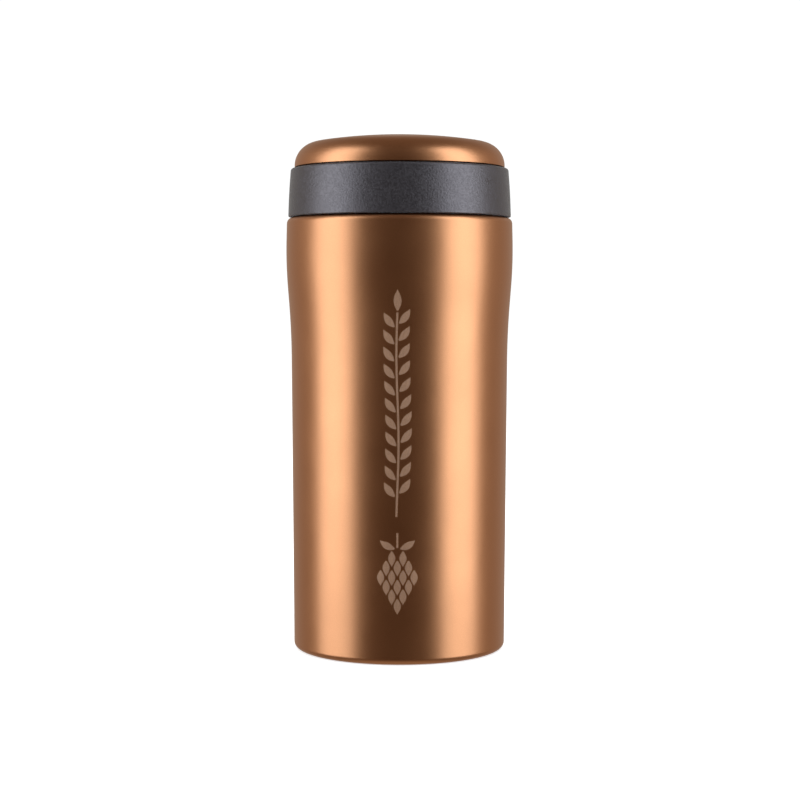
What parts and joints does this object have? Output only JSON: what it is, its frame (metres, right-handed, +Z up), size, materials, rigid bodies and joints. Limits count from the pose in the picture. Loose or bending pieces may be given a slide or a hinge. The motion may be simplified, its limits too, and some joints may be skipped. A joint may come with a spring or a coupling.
{
  "type": "thermal mug",
  "caption": "Double-wall steel mug with a waisted side, a dark screw-in collar lid and a domed push-click drinking cap.",
  "frame": {"origin": "centre of the foot ring, on the surface the mug stands on", "axes": "+Z up along the mug's axis; -Y is the side that carries the etched motif; +X to its right"},
  "size_m": [0.075, 0.075, 0.17],
  "materials": {
    "copper_coat": "satin copper-bronze metallic coat on steel",
    "liner_steel": "turned and polished stainless steel",
    "brushed_base": "circular brushed stainless steel",
    "plain_steel": "plain stamped steel",
    "seal_glass": "fused sealing glass",
    "getter_alloy": "sintered, dull",
    "copper_foil": "bright rolled copper foil",
    "lid_plastic": "dark grey polypropylene, fine spark-eroded texture",
    "acetal": "natural white acetal",
    "silicone": "translucent grey silicone, matte",
    "spring_wire": "drawn stainless spring wire"
  },
  "bodies": {
    "mug": {"outer_shell": "copper_coat", "liner": "liner_steel", "liner_bottom": "liner_steel", "base_cup": "plain_steel", "base_disc": "brushed_base", "evacuation_seal": "seal_glass", "getter": "getter_alloy", "getter_clip": "plain_steel", "radiation_foil": "copper_foil"},
    "lid_seal": {"mouth_gasket": "silicone"},
    "lid": {"lid_body": "lid_plastic", "port_sleeve": "lid_plastic", "mechanism_housing": "lid_plastic", "threaded_plug": "lid_plastic", "ring_retainer": "acetal", "spring_cap": "lid_plastic", "return_spring": "spring_wire"},
    "index_ring": {"index_ring": "acetal"},
    "button": {"button_cap": "copper_coat", "button_base": "lid_plastic", "valve_piston": "lid_plastic", "valve_seal": "silicone", "plunger": "acetal", "plunger_screw": "plain_steel"}
  },
  "joints": [
    {"name": "lid_lift", "type": "slide", "parent": "mug", "child": "lid_seal", "axis": [0, 0, 1], "range_m": [0, 0.0202]},
    {"name": "lid_turn", "type": "hinge", "parent": "lid_seal", "child": "lid", "pos_m": [0, 0, 0.135], "axis": [0, 0, 1], "range_deg": [0, 1800]},
    {"name": "button_press", "type": "slide", "parent": "lid", "child": "button", "axis": [0, 0, 1], "range_m": [-0.0008, 0.005], "deforming": ["return_spring"]},
    {"name": "ring_step", "type": "hinge", "parent": "lid", "child": "index_ring", "pos_m": [0, 0, 0.1481], "axis": [0, 0, 1], "range_deg": [-7.5, 45.5]}
  ],
  "couplings": [
    {"joint": "lid_lift", "follows": "lid_turn", "m_per_rad": 0.00063662},
    {"joint": "ring_step", "follows": "button_press", "rad_per_m": 157.08}
  ]
}
